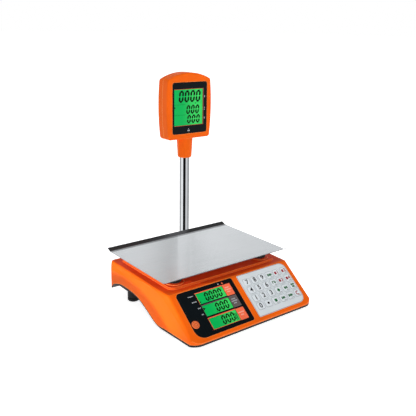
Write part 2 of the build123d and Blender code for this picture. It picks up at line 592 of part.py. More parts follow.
# ---------------------------------------------------------------- assembly
parts["top_housing"] = top_housing()
parts["base_tray"] = base_tray()
parts["display_window"] = display_window()
parts["main_lcd"] = main_lcd()
parts["main_board"] = main_board()
parts["power_button"] = power_button()
parts["keypad_plate"] = keypad_plate()
parts["keypad_mat"] = keypad_mat()
parts["keypad_board"] = keypad_board()
for row in range(KEY_ROWS):
    for col in range(KEY_COLS):
        parts[f"key_r{row + 1}_c{col + 1}"] = key(row, col)

for side, (x, y) in zip(("front_left", "front_right", "back_left", "back_right"), feet):
    parts[f"foot_stud_{side}"] = foot_stud(x, y)
    parts[f"foot_pad_{side}"] = foot_pad(x, y)

parts["load_cell"] = load_cell()
parts["cell_bolts"] = group(hex_bolt(x, CELL_Y, 41.5, CELL_Z0 + 12) for x in CELL_BOLTS_X)
parts["platform_frame"] = platform_frame()
parts["platform_bolts"] = group(hex_bolt(-x, CELL_Y, SPIDER_Z1, CELL_Z1 - 12) for x in CELL_BOLTS_X)
parts["support_pads"] = group(support_pad(x, y) for x, y in pad_places)
parts["weighing_pan"] = weighing_pan()

parts["battery"] = battery()
parts["power_inlet"] = power_inlet()
parts["pole_bracket"] = pole_bracket()
parts["pole"] = pole()
parts["display_cable"] = display_cable()
parts["body_screws"] = body_screws()

casing = head_casing()
front_half = span(-BIG, BIG, -BIG, POLE_Y, -BIG, 2 * BIG)
parts["head_front_shell"] = casing & front_half
parts["head_rear_shell"] = casing - front_half
parts["head_window"] = head_window()
parts["head_lcd"] = head_lcd()
parts["head_board"] = head_board()
parts["head_screws"] = head_screws()
parts["swivel_bush"] = swivel_bush()

os.makedirs("parts", exist_ok=True)
for name, shape in parts.items():
    export_step(shape, f"parts/{name}.step")
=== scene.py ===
import json
import math

import bmesh
import bpy
from mathutils import Matrix, Vector


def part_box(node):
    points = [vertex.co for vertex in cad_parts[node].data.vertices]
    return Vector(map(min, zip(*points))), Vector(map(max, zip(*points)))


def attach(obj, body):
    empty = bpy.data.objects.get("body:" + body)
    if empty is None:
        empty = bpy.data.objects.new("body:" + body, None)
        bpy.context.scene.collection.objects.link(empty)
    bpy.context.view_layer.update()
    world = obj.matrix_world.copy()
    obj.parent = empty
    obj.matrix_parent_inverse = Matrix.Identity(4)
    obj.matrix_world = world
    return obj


# Counter-top price scale with a column display.  Everything is in metres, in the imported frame:
# +X is the operator's right, +Y runs from the operator's side to the back, +Z is up.

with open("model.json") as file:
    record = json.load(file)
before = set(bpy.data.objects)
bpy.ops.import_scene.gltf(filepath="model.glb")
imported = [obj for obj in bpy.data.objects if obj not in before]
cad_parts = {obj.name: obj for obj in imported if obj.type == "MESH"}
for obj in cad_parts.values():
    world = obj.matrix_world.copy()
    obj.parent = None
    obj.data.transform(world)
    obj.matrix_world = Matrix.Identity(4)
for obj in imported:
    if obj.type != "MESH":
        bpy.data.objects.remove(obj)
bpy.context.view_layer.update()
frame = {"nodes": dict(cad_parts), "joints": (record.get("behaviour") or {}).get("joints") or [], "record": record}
nodes = frame["nodes"]
MM = 0.001


# ---------------------------------------------------------------- camera
CAMERA_PLACE = (-0.7773, -0.9994, 0.6071)
CAMERA_YAW, CAMERA_PITCH, CAMERA_ROLL = 38.14, 17.05, 1.0     # degrees: to the right, down, clockwise
CAMERA_LENS = 51.31

camera = bpy.data.objects.new("camera", bpy.data.cameras.new("camera"))
bpy.context.scene.collection.objects.link(camera)
camera.data.lens = CAMERA_LENS
camera.data.sensor_width = 36.0
camera.matrix_world = (
    Matrix.Translation(CAMERA_PLACE)
    @ Matrix.Rotation(math.radians(-CAMERA_YAW), 4, "Z")
    @ Matrix.Rotation(math.radians(90 - CAMERA_PITCH), 4, "X")
    @ Matrix.Rotation(math.radians(CAMERA_ROLL), 4, "Z")
)
bpy.context.scene.camera = camera


# ---------------------------------------------------------------- node helpers
def srgb(red, green, blue):
    """Linear colour of an 8-bit display colour."""
    def linear(value):
        value /= 255
        return value / 12.92 if value <= 0.04045 else ((value + 0.055) / 1.055) ** 2.4
    return (linear(red), linear(green), linear(blue), 1.0)


class Shader:
    """A node material in the making: a principled shader, and short calls for what feeds it."""

    def __init__(self, name, **sockets):
        self.material = bpy.data.materials.new(name)
        self.material.use_nodes = True
        self.tree = self.material.node_tree
        self.tree.nodes.clear()
        self.out = self.tree.nodes.new("ShaderNodeOutputMaterial")
        self.bsdf = self.tree.nodes.new("ShaderNodeBsdfPrincipled")
        self.link(self.bsdf.outputs[0], self.out.inputs["Surface"])
        for socket, value in sockets.items():
            self.bsdf.inputs[socket.replace("_", " ")].default_value = value
        self.place = self.tree.nodes.new("ShaderNodeTexCoord").outputs["Object"]

    def link(self, source, target):
        self.tree.links.new(source, target)

    def node(self, kind, inputs=(), **settings):
        made = self.tree.nodes.new(kind)
        for setting, value in settings.items():
            setattr(made, setting, value)
        for socket, value in dict(inputs).items():
            if isinstance(value, bpy.types.NodeSocket):
                self.link(value, made.inputs[socket])
            else:
                made.inputs[socket].default_value = value
        return made

    def stretched(self, scale):
        """Object place with each axis scaled, for a grain that runs one way."""
        return self.node("ShaderNodeMapping", {"Vector": self.place, "Scale": scale}).outputs[0]

    def noise(self, scale, detail=2.0, roughness=0.5, place=None):
        return self.node(
            "ShaderNodeTexNoise",
            {"Vector": place or self.place, "Scale": scale, "Detail": detail, "Roughness": roughness},
        ).outputs[0]

    def ramp(self, value, low, high, low_to=0.0, high_to=1.0):
        """Value between low and high mapped to low_to and high_to, clamped."""
        made = self.node(
            "ShaderNodeMapRange",
            {0: value, 1: low, 2: high, 3: low_to, 4: high_to},
            interpolation_type="SMOOTHSTEP",
        )
        return made.outputs[0]

    def math(self, operation, a, b=0.0):
        return self.node("ShaderNodeMath", {0: a, 1: b}, operation=operation).outputs[0]

    def mix(self, factor, a, b):
        """Colour a where the factor is 0, colour b where it is 1."""
        return self.node(
            "ShaderNodeMix", {0: factor, 6: a, 7: b}, data_type="RGBA", clamp_factor=True
        ).outputs[2]

    def edges(self, radius):
        """1 on edges that turn within the radius, 0 on flat stretches."""
        bevel = self.node("ShaderNodeBevel", {"Radius": radius}, samples=6).outputs[0]
        flat = self.node("ShaderNodeNewGeometry").outputs["Normal"]
        dot = self.node("ShaderNodeVectorMath", {0: bevel, 1: flat}, operation="DOT_PRODUCT")
        return self.ramp(dot.outputs["Value"], 0.995, 0.80)

    def bump(self, height, distance, strength=1.0, round_edges=0.0):
        """Bump from a height, over edges softened by a small radius."""
        inputs = {"Height": height, "Distance": distance, "Strength": strength}
        if round_edges:
            inputs["Normal"] = self.node("ShaderNodeBevel", {"Radius": round_edges}, samples=6).outputs[0]
        self.link(self.node("ShaderNodeBump", inputs).outputs[0], self.bsdf.inputs["Normal"])

    def feed(self, socket, value):
        self.link(value, self.bsdf.inputs[socket])


# ---------------------------------------------------------------- materials
def moulded(
    name, colour, roughness, grain=0.02, edge_highlight_lift=0.25, round_edges=0.6 * MM, edge_width=1.1,
    painted_hollow_shade=None, **sockets,
):
    """Moulded plastic: fine spark-eroded grain, faint flow marks, edges polished a little and painted paler as a
    highlight.

    The hollow shade colour is painted shade: what the plastic turns to where surfaces stand close and shade and
    tint each other.
    """
    shader = Shader(name, **sockets)
    flow = shader.noise(9, 3, 0.6)
    speckle = shader.noise(2600, 2, 0.5)
    shade = tuple(c * 0.90 for c in colour[:3]) + (1.0,)
    lifted = tuple(min(1.0, c * (1 + edge_highlight_lift) + 0.08 * edge_highlight_lift) for c in colour[:3]) + (1.0,)
    body = shader.mix(shader.ramp(flow, 0.35, 0.7), colour, shade)
    # Painted shade: darker, redder colour where surfaces stand close.
    if painted_hollow_shade:
        open_sky = shader.node("ShaderNodeAmbientOcclusion", {"Distance": 0.06}, samples=8).outputs["AO"]
        body = shader.mix(shader.ramp(open_sky, 0.75, 0.25), body, painted_hollow_shade)
    # Painted highlight: edges painted paler in colour; they are also made a little less rough.
    edge_polish_and_highlight = shader.edges(edge_width * MM)
    shader.feed("Base Color", shader.mix(shader.math("MULTIPLY", edge_polish_and_highlight, 0.85), body, lifted))
    mottled = shader.ramp(shader.noise(60, 4, 0.65), 0.3, 0.7, roughness - 0.04, roughness + 0.05)
    shader.feed("Roughness", shader.math("SUBTRACT", mottled, shader.math("MULTIPLY", edge_polish_and_highlight, 0.08)))
    shader.bump(speckle, grain * MM, 0.6, round_edges)
    return shader.material


def orange_plastic():
    # Edges painted paler as a highlight, hollows painted darker and redder as shade.
    return moulded(
        "orange_abs", (0.87, 0.124, 0.004, 1.0), 0.42, edge_highlight_lift=1.3, edge_width=2.4,
        painted_hollow_shade=(0.82, 0.060, 0.010, 1.0), Specular_IOR_Level=0.05,
    )


def button_plastic():
    return moulded("button_orange", (0.88, 0.16, 0.03, 1.0), 0.38, 0.012, round_edges=0.3 * MM)


def black_plastic():
    colour = (0.006, 0.006, 0.007, 1.0)
    return moulded("black_abs", colour, 0.50, 0.05, edge_highlight_lift=0.15, Specular_IOR_Level=0.2)


def gloss_black():
    """Acrylic panel, back-printed in blue-black, with dust-fine haze and faint wiping marks."""
    shader = Shader("printed_acrylic", Specular_IOR_Level=0.06)
    cloud = shader.noise(25, 3, 0.6)
    shader.feed("Base Color", shader.mix(cloud, srgb(7, 13, 16), srgb(12, 18, 22)))
    wiped = shader.noise(180, 4, 0.7, shader.stretched((1.0, 0.12, 0.12)))
    shader.feed("Roughness", shader.ramp(wiped, 0.3, 0.75, 0.18, 0.30))
    shader.bump(shader.noise(900, 2), 0.004 * MM, 0.5, 0.25 * MM)
    return shader.material


def lcd_green(name, bright_x, reach):
    """Backlit liquid crystal: even green, brighter and yellower towards its lamp at bright_x."""
    shader = Shader(name, Roughness=0.22, Specular_IOR_Level=0.08)
    x = shader.node("ShaderNodeSeparateXYZ", {0: shader.place}).outputs[0]
    away = shader.math("ABSOLUTE", shader.math("SUBTRACT", x, bright_x))
    near = shader.ramp(away, reach, 0.0)
    uneven = shader.math("MULTIPLY", near, shader.ramp(shader.noise(70, 2), 0.25, 0.75, 0.55, 1.0))
    colour = shader.mix(uneven, srgb(4, 158, 74), srgb(58, 196, 88))
    shader.feed("Base Color", colour)
    shader.feed("Emission Color", colour)
    shader.bsdf.inputs["Emission Strength"].default_value = 0.25
    cells = shader.node(
        "ShaderNodeTexBrick", {"Vector": shader.place, "Scale": 900.0, "Mortar Size": 0.03}
    ).outputs[1]
    shader.bump(cells, 0.003 * MM, 0.3)
    return shader.material


def circuit_board():
    """Green solder mask with copper runs under it."""
    shader = Shader("solder_mask", Coat_Weight=0.5, Coat_Roughness=0.15)
    runs = shader.node(
        "ShaderNodeTexBrick",
        {
            "Vector": shader.place, "Scale": 160.0,
            "Mortar Size": 0.08, "Brick Width": 1.7, "Row Height": 0.4,
        },
    ).outputs[1]
    shader.feed("Base Color", shader.mix(runs, (0.012, 0.10, 0.035, 1.0), (0.05, 0.20, 0.06, 1.0)))
    shader.feed("Roughness", shader.ramp(shader.noise(80), 0.3, 0.7, 0.3, 0.45))
    shader.bump(runs, 0.03 * MM, 0.8)
    return shader.material


def keypad_grey():
    """Satin polyester overlay of the keypad, with its fine print texture and edges painted paler as a highlight.
    """
    shader = Shader("keypad_overlay")
    tint = shader.noise(14, 3, 0.6)
    base = shader.mix(shader.ramp(tint, 0.3, 0.7), srgb(199, 207, 211), srgb(212, 218, 222))
    # Painted highlight: edges paler.
    edge = shader.edges(1.0 * MM)
    shader.feed("Base Color", shader.mix(edge, base, srgb(226, 236, 244)))
    shader.feed("Roughness", shader.ramp(shader.noise(220, 3), 0.3, 0.7, 0.34, 0.46))
    shader.bump(shader.noise(1900, 2), 0.012 * MM, 0.5, 0.3 * MM)
    return shader.material


def key_white():
    """Key caps: the overlay's satin finish, paler, with patchy grey painted along the edges as shade."""
    shader = Shader("key_cap")
    # Painted shade: grey along the key edges, broken up by noise.
    painted_edge_shade = shader.math("MULTIPLY", shader.edges(0.7 * MM), shader.ramp(shader.noise(240, 3), 0.4, 0.7))
    cloud = shader.mix(shader.noise(60, 3), srgb(212, 218, 222), srgb(222, 227, 231))
    shader.feed("Base Color", shader.mix(painted_edge_shade, cloud, srgb(150, 158, 166)))
    shader.feed("Roughness", shader.ramp(shader.noise(300, 2), 0.3, 0.7, 0.30, 0.42))
    shader.bump(shader.noise(2400, 2), 0.008 * MM, 0.5, 0.35 * MM)
    return shader.material


def silicone():
    return moulded("silicone", (0.30, 0.32, 0.34, 1.0), 0.62, 0.02, 0.1)


def rubber():
    """Matte black rubber with a bloom of grey and fine pores."""
    shader = Shader("rubber", Sheen_Weight=0.05, Sheen_Roughness=0.6, Specular_IOR_Level=0.2)
    bloom = shader.ramp(shader.noise(120, 4, 0.7), 0.45, 0.8)
    shader.feed("Base Color", shader.mix(bloom, (0.008, 0.008, 0.009, 1.0), (0.026, 0.026, 0.028, 1.0)))
    shader.feed("Roughness", shader.ramp(shader.noise(500, 3), 0.3, 0.7, 0.62, 0.80))
    shader.bump(shader.noise(1500, 3, 0.7), 0.05 * MM, 0.7, 0.3 * MM)
    return shader.material


def brushed(name, colour, roughness, along, depth):
    """Brushed metal: long scratches along one axis, clouded polish and a few deeper hairlines."""
    shader = Shader(name, Metallic=1.0)
    fine_scale = tuple(6.0 if axis == along else 1400.0 for axis in "XYZ")
    long_scale = tuple(1.5 if axis == along else 260.0 for axis in "XYZ")
    fine = shader.noise(1.0, 4, 0.7, shader.stretched(fine_scale))
    hair = shader.noise(1.0, 3, 0.6, shader.stretched(long_scale))
    cloud = shader.noise(7, 3, 0.6)
    dark = tuple(c * 0.90 for c in colour[:3]) + (1.0,)
    shader.feed("Base Color", shader.mix(shader.ramp(hair, 0.3, 0.75), dark, colour))
    rough = shader.ramp(fine, 0.25, 0.75, roughness - 0.05, roughness + 0.07)
    shader.feed("Roughness", shader.math("ADD", rough, shader.ramp(cloud, 0.3, 0.7, -0.02, 0.03)))
    shader.bump(shader.math("ADD", fine, shader.math("MULTIPLY", hair, 0.6)), depth * MM, 0.4, 0.3 * MM)
    return shader.material


PAN_LIP = 12.3 * MM           # width of the bent-up strip along the pan's back


def stainless():
    """Pan sheet, brushed from side to side: reflections run out in long streaks across the grain.

    The bent-up strip, the sheet along its foot and the steep faces at its edges are painted darker: painted
    reflection of the dark surroundings that such metal mirrors in a studio picture.
    """
    shader = Shader("brushed_stainless", Metallic=1.0, Anisotropic=0.9)
    fine = shader.noise(1.0, 4, 0.7, shader.stretched((9.0, 1300.0, 1300.0)))
    hair = shader.noise(1.0, 3, 0.6, shader.stretched((2.5, 420.0, 420.0)))
    cloud = shader.noise(6, 3, 0.6)
    tone = shader.math("ADD", shader.math("MULTIPLY", hair, 0.6), shader.math("MULTIPLY", cloud, 0.4))
    sheet = shader.mix(shader.ramp(tone, 0.3, 0.7), (0.70, 0.72, 0.735, 1.0), (0.76, 0.775, 0.79, 1.0))
    normal = shader.node("ShaderNodeNewGeometry").outputs["Normal"]
    facing = shader.node("ShaderNodeSeparateXYZ", {0: normal})
    # Painted reflection: the lip, the sheet along its foot and the steep edges get darker base colours.
    upturned = shader.ramp(facing.outputs[1], -0.12, -0.30)
    _, depth, height = shader.node("ShaderNodeSeparateXYZ", {0: shader.place}).outputs
    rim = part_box("weighing_pan")[1].z
    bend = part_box("weighing_pan")[1].y - PAN_LIP
    foot = shader.math("MULTIPLY", shader.ramp(depth, bend - 10 * MM, bend - 6 * MM), 0.9)
    sheet = shader.mix(foot, sheet, (0.27, 0.275, 0.28, 1.0))
    upper = shader.ramp(height, rim - 8 * MM, rim - 3 * MM)
    strip = shader.mix(upper, (0.24, 0.24, 0.25, 1.0), (0.09, 0.09, 0.095, 1.0))
    painted_edge_reflection = shader.ramp(shader.math("ABSOLUTE", facing.outputs[2]), 0.6, 0.3)
    lipped = shader.mix(upturned, sheet, strip)
    shader.feed("Base Color", shader.mix(painted_edge_reflection, lipped, (0.22, 0.22, 0.23, 1.0)))
    shader.feed("Roughness", shader.ramp(fine, 0.25, 0.75, 0.15, 0.21))
    across = shader.node("ShaderNodeCombineXYZ", {0: 0.0, 1: 1.0, 2: 0.0})
    shader.feed("Tangent", across.outputs[0])
    shader.bump(fine, 0.0008 * MM, 0.3, 0.3 * MM)
    return shader.material


def aluminium():
    return brushed("cast_aluminium", (0.58, 0.59, 0.60, 1.0), 0.42, "X", 0.02)


def zinc_steel():
    return brushed("zinc_plate", (0.56, 0.57, 0.56, 1.0), 0.30, "Z", 0.006)


def chrome():
    """Polished chrome tube: mirror finish with very fine draw lines up its length and faint smears."""
    shader = Shader("chrome_tube", Metallic=1.0)
    smear = shader.ramp(shader.noise(16, 4, 0.7), 0.45, 0.8)
    shader.feed("Base Color", shader.mix(smear, (0.80, 0.81, 0.83, 1.0), (0.72, 0.73, 0.75, 1.0)))
    draw = shader.noise(1.0, 3, 0.6, shader.stretched((900, 900, 3)))
    shader.feed("Roughness", shader.ramp(draw, 0.3, 0.8, 0.045, 0.085))
    shader.bump(draw, 0.0015 * MM, 0.3)
    return shader.material


def black_paint():
    """Powder coat: orange-peel texture and edges painted paler as a highlight."""
    return moulded("powder_coat", (0.014, 0.014, 0.016, 1.0), 0.42, 0.10, edge_highlight_lift=1.2)


def cable_sheath():
    return moulded("cable_sheath", (0.02, 0.02, 0.02, 1.0), 0.55, 0.02)


def nylon():
    return moulded("nylon", (0.60, 0.58, 0.50, 1.0), 0.5, 0.02, 0.1)


def ink(name, colour, gloss=0.35):
    """Screen-printed ink: a slightly uneven, satin film."""
    shader = Shader(name, Specular_IOR_Level=0.08)
    thin = tuple(c * 0.86 for c in colour[:3]) + (1.0,)
    film = shader.ramp(shader.noise(420, 3, 0.6), 0.3, 0.75)
    shader.feed("Base Color", shader.mix(film, thin, colour))
    shader.feed("Roughness", shader.ramp(shader.noise(900, 2), 0.3, 0.7, gloss, gloss + 0.12))
    shader.bump(shader.noise(1600, 2), 0.003 * MM, 0.4)
    return shader.material


SLOT_MATERIALS = {
    "orange_plastic": orange_plastic(),
    "button_plastic": button_plastic(),
    "black_plastic": black_plastic(),
    "gloss_black": gloss_black(),
    "circuit_board": circuit_board(),
    "keypad_grey": keypad_grey(),
    "key_white": key_white(),
    "silicone": silicone(),
    "aluminium": aluminium(),
    "zinc_steel": zinc_steel(),
    "rubber": rubber(),
    "stainless": stainless(),
    "chrome": chrome(),
    "black_paint": black_paint(),
    "cable_sheath": cable_sheath(),
    "nylon": nylon(),
}
INK_GREY = ink("ink_grey", srgb(168, 172, 176))
INK_SALMON = ink("ink_salmon", srgb(248, 112, 76))
INK_TAUPE = ink("ink_taupe", srgb(98, 88, 88))
INK_ROSE = ink("ink_rose", srgb(246, 182, 160))
INK_DARK = ink("ink_dark", srgb(22, 27, 32))
INK_GREEN = ink("ink_green", srgb(10, 96, 46))
INK_RED = ink("ink_red", srgb(150, 26, 38))
# Painted shade: grey for the line round each key and the keypad's rim, where the gaps lie in shade.
INK_GAP_SHADE = ink("ink_gap_shade", srgb(150, 156, 164))
INK_CRYSTAL = ink("ink_crystal", srgb(1, 6, 3), 0.6)

slot_of = {part["node"]: part["material_slot"] for part in frame["record"]["subparts"]}
for name, obj in nodes.items():
    slot = slot_of[name]
    if slot == "lcd_green":
        low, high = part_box(name)
        lamp = low.x + 0.80 * (high.x - low.x)
        material = lcd_green(f"crystal_{name}", lamp, 0.55 * (high.x - low.x))
    else:
        material = SLOT_MATERIALS[slot]
    obj.data.materials.clear()
    obj.data.materials.append(material)


# ---------------------------------------------------------------- mesh helpers
def rides(obj, body):
    """Hand a finished piece to its body."""
    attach(obj, body)


def object_from(bm, name, material):
    mesh = bpy.data.meshes.new(name)
    bmesh.ops.recalc_face_normals(bm, faces=bm.faces)
    bm.to_mesh(mesh)
    bm.free()
    mesh.materials.append(material)
    obj = bpy.data.objects.new(name, mesh)
    bpy.context.scene.collection.objects.link(obj)
    return obj


class Face:
    """A flat printed face: points (x, s) in millimetres, x to the right and s down the slope."""

    def __init__(self, origin, across, down, out):
        self.origin, self.across, self.down, self.out = origin, across, down, out

    def at(self, x, s, h):
        return self.origin + self.across * (x * MM) + self.down * (s * MM) + self.out * (h * MM)

    def plate(self, bm, outline, low, high):
        """Thin closed prism over an outline of (x, s) points, from height low to high."""
        bottom = [bm.verts.new(self.at(x, s, low)) for x, s in outline]
        top = [bm.verts.new(self.at(x, s, high)) for x, s in outline]
        bm.faces.new(bottom)
        bm.faces.new(top)
        count = len(outline)
        for i in range(count):
            j = (i + 1) % count
            bm.faces.new((bottom[i], bottom[j], top[j], top[i]))


def arc(cx, cs, radius, start, end, count):
    """Points along an arc in degrees, 0 to the right and 90 up the slope."""
    return [
        (
            cx + radius * math.cos(math.radians(start + (end - start) * i / (count - 1))),
            cs - radius * math.sin(math.radians(start + (end - start) * i / (count - 1))),
        )
        for i in range(count)
    ]


def rounded(x0, x1, s0, s1, radius, count=5):
    """Outline of a rectangle with round corners."""
    return (
        arc(x1 - radius, s0 + radius, radius, 0, 90, count)
        + arc(x0 + radius, s0 + radius, radius, 90, 180, count)
        + arc(x0 + radius, s1 - radius, radius, 180, 270, count)
        + arc(x1 - radius, s1 - radius, radius, 270, 360, count)
    )


def bar(x0, s0, x1, s1, width):
    """Outline of a straight stroke with pointed ends, as in a crystal digit."""
    length = math.hypot(x1 - x0, s1 - s0)
    ux, us = (x1 - x0) / length, (s1 - s0) / length
    half = width / 2
    side = (-us * half, ux * half)
    return [
        (x0, s0),
        (x0 + ux * half + side[0], s0 + us * half + side[1]),
        (x1 - ux * half + side[0], s1 - us * half + side[1]),
        (x1, s1),
        (x1 - ux * half - side[0], s1 - us * half - side[1]),
        (x0 + ux * half - side[0], s0 + us * half - side[1]),
    ]


def ring(cx, cs, outer, inner, start, end, count):
    """Outline of part of a flat ring."""
    return arc(cx, cs, outer, start, end, count) + arc(cx, cs, inner, end, start, count)


ZERO_STROKES = [      # each stroke of a zero as two corners of a 1 x 2 grid: (column, row)
    ((0, 0), (1, 0)), ((1, 0), (1, 1)), ((1, 1), (1, 2)),
    ((0, 2), (1, 2)), ((0, 1), (0, 2)), ((0, 0), (0, 1)),
]


def crystal_zero(x, s, width, height, stroke, slant):
    """Zero of six strokes: list of their outlines.  (x, s) is the upper left corner of the digit."""
    strokes = []
    gap = 0.04 * stroke
    for corners in ZERO_STROKES:
        ends = []
        for column, row in corners:
            px = x + stroke / 2 + column * (width - stroke)
            ps = s + stroke / 2 + row * (height - stroke) / 2
            ends.append((px, ps))
        (ax, as_), (bx, bs) = ends
        length = math.hypot(bx - ax, bs - as_)
        ux, us = (bx - ax) / length, (bs - as_) / length
        outline = bar(ax + ux * gap, as_ + us * gap, bx - ux * gap, bs - us * gap, stroke)
        strokes.append([(px + slant * (s + height - ps), ps) for px, ps in outline])
    return strokes


def band(bm, face, loops):
    """Closed ring of faces through several loops of (outline, height)."""
    rings = [[bm.verts.new(face.at(x, s, height)) for x, s in outline] for outline, height in loops]
    count = len(rings[0])
    for k in range(len(rings)):
        this, following = rings[k], rings[(k + 1) % len(rings)]
        for i in range(count):
            j = (i + 1) % count
            bm.faces.new((this[i], this[j], following[j], following[i]))


def print_on(face, name, outlines, material, body, low, high):
    """One printed piece from several outlines on a face."""
    bm = bmesh.new()
    for outline in outlines:
        face.plate(bm, outline, low, high)
    rides(object_from(bm, name, material), body)


# ---------------------------------------------------------------- the two faces that carry print
def press_axis(joint_name):
    return Vector(next(j["axis"] for j in frame["joints"] if j["name"] == joint_name))


inward = press_axis("key_r1_c1_press").normalized()
panel_out = -inward
panel_down = Vector((0, inward.z, -inward.y)).normalized()
if panel_down.z > 0:
    panel_down.negate()


def extent(name, direction):
    """Lowest and highest place of a node along a direction, in millimetres."""
    values = [v.co.dot(direction) / MM for v in nodes[name].data.vertices]
    return min(values), max(values)


def edges_on_panel(name):
    """Left, right, upper and lower edge of a node, as x and s of the panel."""
    low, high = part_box(name)
    s0, s1 = (v - panel.origin.dot(panel_down) / MM for v in extent(name, panel_down))
    return low.x / MM, high.x / MM, s0, s1


bezel_top = extent("display_window", panel_out)[1]
bezel_start = extent("display_window", panel_down)[0]
BEZEL_START = 2.5                # the display window starts this far down the slope, s = 0 at the crease
PLATE_PROUD = 0.4                # the window and keypad stand this far above the slope
slope_zero = panel_out * ((bezel_top - PLATE_PROUD) * MM) + panel_down * ((bezel_start - BEZEL_START) * MM)
panel = Face(slope_zero, Vector((1, 0, 0)), panel_down, panel_out)

glass_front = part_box("head_window")[0].y
head_lcd_low, head_lcd_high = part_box("head_lcd")
head_face = Face(
    Vector((0, glass_front + PLATE_PROUD * MM, 0)), Vector((1, 0, 0)), Vector((0, 0, -1)), Vector((0, -1, 0))
)


def head_at(z):
    """Height above the table as the head face's downward coordinate."""
    return -z


PRINT_LOW, PRINT_HIGH = PLATE_PROUD - 0.02, PLATE_PROUD + 0.05    # ink on the windows
GLASS = 0.1                                                       # the crystal's face
CRYSTAL_LOW, CRYSTAL_HIGH = GLASS - 0.02, GLASS + 0.05


# ---------------------------------------------------------------- operator's display
LCD_X0 = -106.0                  # left edge of the crystal rows
LCD_ROWS = [(14.4, 38.4), (43.2, 67.4), (73.4, 97.6)]
LABEL_X0, LABEL_X1 = -35.2, -14.0
LABELS = [(12.6, 39.8, INK_SALMON), (41.5, 68.4, INK_TAUPE), (72.0, 99.2, INK_SALMON)]
DIGIT_SLANT = 0.10


def display_labels():
    """Coloured labels right of the crystal rows, with small blocks that stand for their words."""
    for index, (s0, s1, material) in enumerate(LABELS, 1):
        block = rounded(LABEL_X0, LABEL_X1, s0, s1, 0.8)
        print_on(panel, f"label_{index}", [block], material, "base", PRINT_LOW, PRINT_HIGH)
        middle = (s0 + s1) / 2
        lines = [(-5.6, 6.0), (-0.6, 8.4), (4.6, 5.0)] if index < 3 else [(-3.4, 8.0), (2.6, 4.0)]
        marks = []
        for offset, half in lines:
            centre = (LABEL_X0 + LABEL_X1) / 2
            step = 2.6
            count = max(2, int(2 * half / step))
            for k in range(count):
                x = centre - half + k * step
                marks.append(rounded(x, x + 1.9, middle + offset - 1.3, middle + offset + 1.3, 0.4, 3))
        words = INK_GREY if index == 2 else INK_ROSE
        low, high = PRINT_HIGH - 0.01, PRINT_HIGH + 0.04
        print_on(panel, f"label_marks_{index}", marks, words, "base", low, high)


def display_frames():
    """Thin printed outline over the top and left of each crystal row, and under the last."""
    for index, (s0, s1) in enumerate(LCD_ROWS, 1):
        colour = INK_SALMON if index != 2 else INK_TAUPE
        lines = [rounded(LCD_X0 - 1.7, LABEL_X0, s0 - 2.2, s0 - 0.35, 0.3, 3)]
        thin = 1.0 if index == 3 else 0.5
        lines.append(rounded(LCD_X0 - 0.35 - thin, LCD_X0 - 0.35, s0 - 2.0, s1 + 0.4, 0.2, 3))
        if index == 3:
            lines.append(rounded(LCD_X0 - 1.3, LABEL_X0, s1 + 0.35, s1 + 1.1, 0.2, 3))
        print_on(
            panel, f"row_outline_{index}", lines, colour, "base", PRINT_LOW, PRINT_HIGH - 0.01
        )


def display_marks():
    """Grey marks left of the rows and two small signs at the top edge."""
    rows = [(-126.0, -112.6, 16.6), (-123.0, -111.2, 30.4), (-117.2, -109.4, 45.8), (-115.4, -110.0, 60.4)]
    marks = []
    for x0, x1, s in rows:
        count = max(2, round((x1 - x0) / 2.9))
        pitch = (x1 - x0) / count
        for k in range(count):
            start = x0 + k * pitch
            marks.append(rounded(start, start + pitch * 0.68, s - 1.15, s + 1.15, 0.4, 3))
    marks.append(rounded(-44.0, -39.8, 6.9, 8.9, 0.9, 4))
    print_on(panel, "row_marks", marks, INK_GREY, "base", PRINT_LOW, PRINT_HIGH)
    triangle = [(-33.4, 9.8), (-31.2, 5.0), (-29.0, 9.8)]
    print_on(panel, "lamp_mark", [triangle], INK_SALMON, "base", PRINT_LOW, PRINT_HIGH)


def display_digits():
    """Zeros of the three rows, right-aligned, with their small flags at the left."""
    width, gap, stroke = 10.0, 1.7, 3.5
    counts, right = (4, 3, 3), (-41.8, -41.6, -43.6)
    for index, ((s0, s1), count, x_end) in enumerate(zip(LCD_ROWS, counts, right), 1):
        height = (s1 - s0) - 4.0
        strokes = []
        for k in range(count):
            x = x_end - DIGIT_SLANT * height - width - k * (width + gap)
            strokes += crystal_zero(x, s0 + 2.0, width, height, stroke, DIGIT_SLANT)
        if index == 3:
            x = x_end - DIGIT_SLANT * height + 1.0
            low, high, wide = s1 - 2.2, s1 - 17.5, 1.5
            for shift in (0.0, 3.6):
                foot, crown = x + shift, x + shift + 1.6
                strokes.append([(foot, low), (foot + wide, low), (crown + wide, high), (crown, high)])
        else:
            x = x_end - DIGIT_SLANT * height - width - 2 * (width + gap) - gap / 2 - 0.9
            strokes.append(rounded(x, x + 1.8, s1 - 4.1, s1 - 2.3, 0.4, 3))
        if index == 1:
            strokes.append([(-104.6, s1 - 6.6), (-100.8, s1 - 4.5), (-104.6, s1 - 2.4)])
        if index == 2:
            strokes.append([(-105.4, s0 + 3.6), (-99.8, s0 + 6.8), (-105.4, s0 + 10.0)])
        print_on(
            panel, f"row_{index}_digits", strokes, INK_CRYSTAL, "base", CRYSTAL_LOW, CRYSTAL_HIGH
        )


def power_symbol():
    """Raised ring and power sign on the power button."""
    low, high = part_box("power_button")
    centre = (low + high) / 2
    x = centre.x / MM
    s = (centre - panel.origin).dot(panel_down) / MM
    top = (extent("power_button", panel_out)[1] * MM - panel.origin.dot(panel_out)) / MM
    shapes = [ring(x, s, 6.7, 5.9, 0, 180, 19), ring(x, s, 6.7, 5.9, 180, 360, 19)]
    shapes += [ring(x, s + 0.2, 3.8, 2.7, 125, 415, 25)]
    shapes.append(rounded(x - 0.6, x + 0.6, s - 4.6, s - 0.4, 0.4, 3))
    shade = ink("ink_button", srgb(160, 76, 52), 0.3)
    print_on(panel, "power_sign", shapes, shade, "power_button", top - 0.03, top + 0.06)


